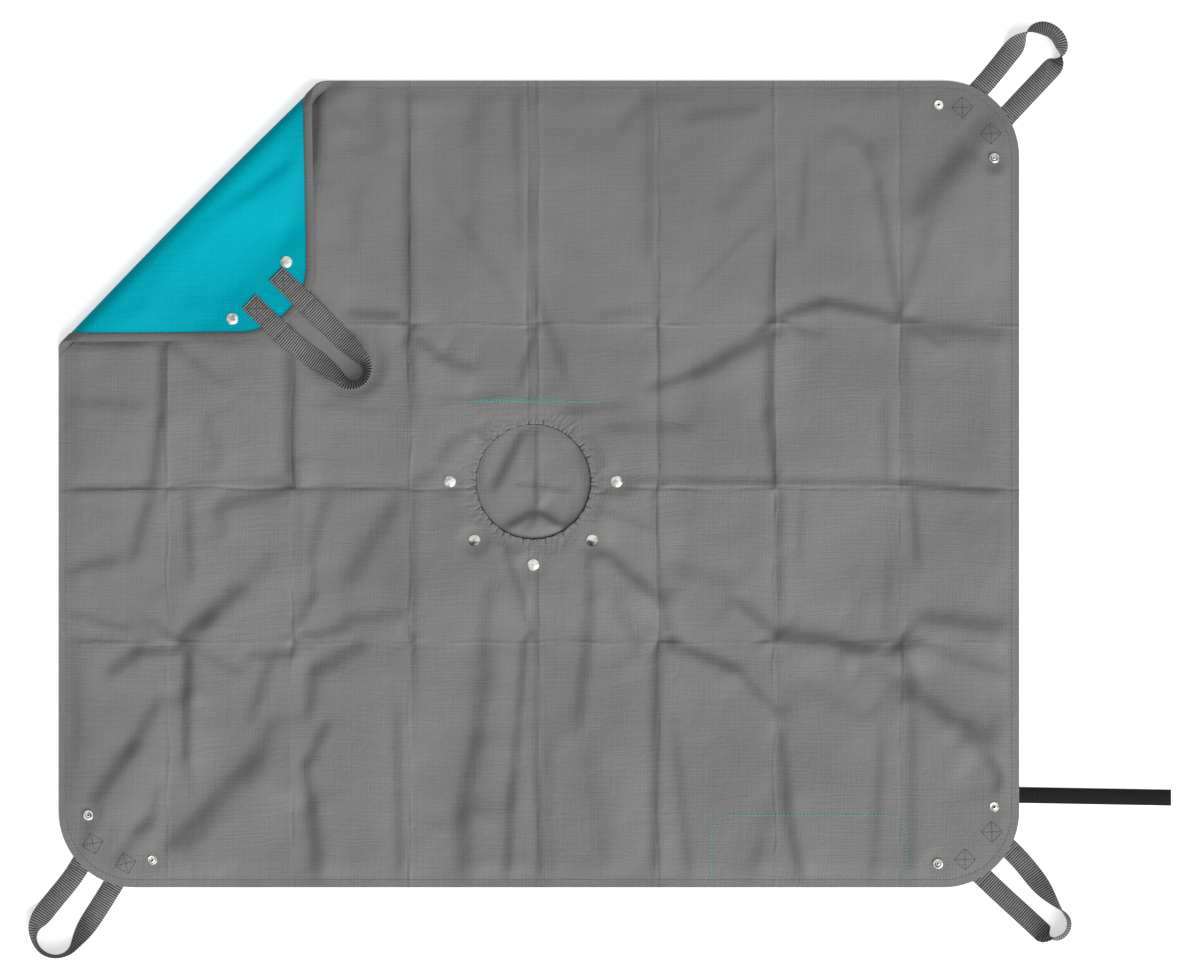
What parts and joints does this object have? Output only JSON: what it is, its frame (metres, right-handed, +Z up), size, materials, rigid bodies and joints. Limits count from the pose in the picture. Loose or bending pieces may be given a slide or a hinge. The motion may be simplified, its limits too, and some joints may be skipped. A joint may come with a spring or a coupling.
{
  "type": "repotting mat",
  "caption": "Rectangular tarpaulin work mat laid flat with one corner turned over, press studs and webbing handles at its corners and a round opening with a flap.",
  "frame": {"origin": "under the middle of the whole object's box, on the floor that it lies on", "axes": "+Z up; +X to the right along the long side, towards the elastic strap; +Y along the short side, towards the edge above the flap's seam"},
  "size_m": [1.4266, 1.17, 0.0288],
  "materials": {
    "grey_tarpaulin": "woven, satin",
    "turquoise_tarpaulin": "woven, satin",
    "webbing": "ribbed, matte",
    "black_elastic": "matte",
    "nickel": "bright nickel"
  },
  "bodies": {
    "mat": {"mat_sheet": "grey_tarpaulin", "hem_binding": "grey_tarpaulin", "opening_elastic": "black_elastic", "tool_pocket": "grey_tarpaulin", "fold_roll": "turquoise_tarpaulin", "strap_sewn_end": "black_elastic", "centre_cap_left": "nickel", "centre_socket_left": "nickel", "centre_cap_left_low": "nickel", "centre_socket_left_low": "nickel", "centre_cap_low": "nickel", "centre_socket_low": "nickel", "centre_cap_right_low": "nickel", "centre_socket_right_low": "nickel", "centre_cap_right": "nickel", "centre_socket_right": "nickel", "right_top_cap_of_stud": "nickel", "right_top_stud": "nickel", "right_top_cap_of_socket": "nickel", "right_top_socket": "nickel", "handle_right_top_end_a": "webbing", "handle_right_top_end_b": "webbing", "right_bottom_cap_of_stud": "nickel", "right_bottom_stud": "nickel", "right_bottom_cap_of_socket": "nickel", "right_bottom_socket": "nickel", "handle_right_bottom_end_a": "webbing", "handle_right_bottom_end_b": "webbing", "left_bottom_cap_of_stud": "nickel", "left_bottom_stud": "nickel", "left_bottom_cap_of_socket": "nickel", "left_bottom_socket": "nickel", "handle_left_bottom_end_a": "webbing", "handle_left_bottom_end_b": "webbing"},
    "turned_corner": {"corner_sheet": "turquoise_tarpaulin", "corner_hem": "grey_tarpaulin", "left_top_cap_of_stud": "nickel", "left_top_stud": "nickel", "left_top_cap_of_socket": "nickel", "left_top_socket": "nickel", "handle_left_top_end_a": "webbing", "handle_left_top_end_b": "webbing"},
    "corner_handle": {"handle_left_top_loop": "webbing"},
    "right_top_handle": {"handle_right_top_loop": "webbing"},
    "right_bottom_handle": {"handle_right_bottom_loop": "webbing"},
    "left_bottom_handle": {"handle_left_bottom_loop": "webbing"},
    "flap": {"cover_flap": "grey_tarpaulin", "flap_cap_left": "nickel", "flap_stud_left": "nickel", "flap_cap_left_low": "nickel", "flap_stud_left_low": "nickel", "flap_cap_low": "nickel", "flap_stud_low": "nickel", "flap_cap_right_low": "nickel", "flap_stud_right_low": "nickel", "flap_cap_right": "nickel", "flap_stud_right": "nickel"},
    "strap": {"elastic_strap": "black_elastic"}
  },
  "joints": [
    {"name": "corner_fold", "type": "hinge", "parent": "mat", "child": "turned_corner", "pos_m": [-0.67674, 0.16398, 0.01515], "axis": [-0.7071, -0.7071, 0], "range_deg": [0, 179], "deforming": ["fold_roll"]},
    {"name": "corner_handle_swing", "type": "hinge", "parent": "turned_corner", "child": "corner_handle", "pos_m": [-0.38167, 0.21591, 0.00915], "axis": [-0.7071, -0.7071, 0], "range_deg": [0, 125]},
    {"name": "right_top_handle_swing", "type": "hinge", "parent": "mat", "child": "right_top_handle", "pos_m": [0.49526, 0.48832, 0.00075], "axis": [0.7337, -0.6794, 0], "range_deg": [-90, 130]},
    {"name": "right_bottom_handle_swing", "type": "hinge", "parent": "mat", "child": "right_bottom_handle", "pos_m": [0.49895, -0.47077, 0.00075], "axis": [-0.6972, -0.7169, 0], "range_deg": [-90, 130]},
    {"name": "left_bottom_handle_swing", "type": "hinge", "parent": "mat", "child": "left_bottom_handle", "pos_m": [-0.63252, -0.48654, 0.00075], "axis": [-0.8572, 0.515, 0], "range_deg": [-90, 130]},
    {"name": "flap_swing", "type": "hinge", "parent": "mat", "child": "flap", "pos_m": [-0.08374, 0.10898, 0.00645], "axis": [1, 0, 0], "range_deg": [0, 160]},
    {"name": "strap_swing", "type": "hinge", "parent": "mat", "child": "strap", "pos_m": [0.52756, -0.38303, 0.00075], "axis": [0, -1, 0], "range_deg": [-90, 130]}
  ]
}
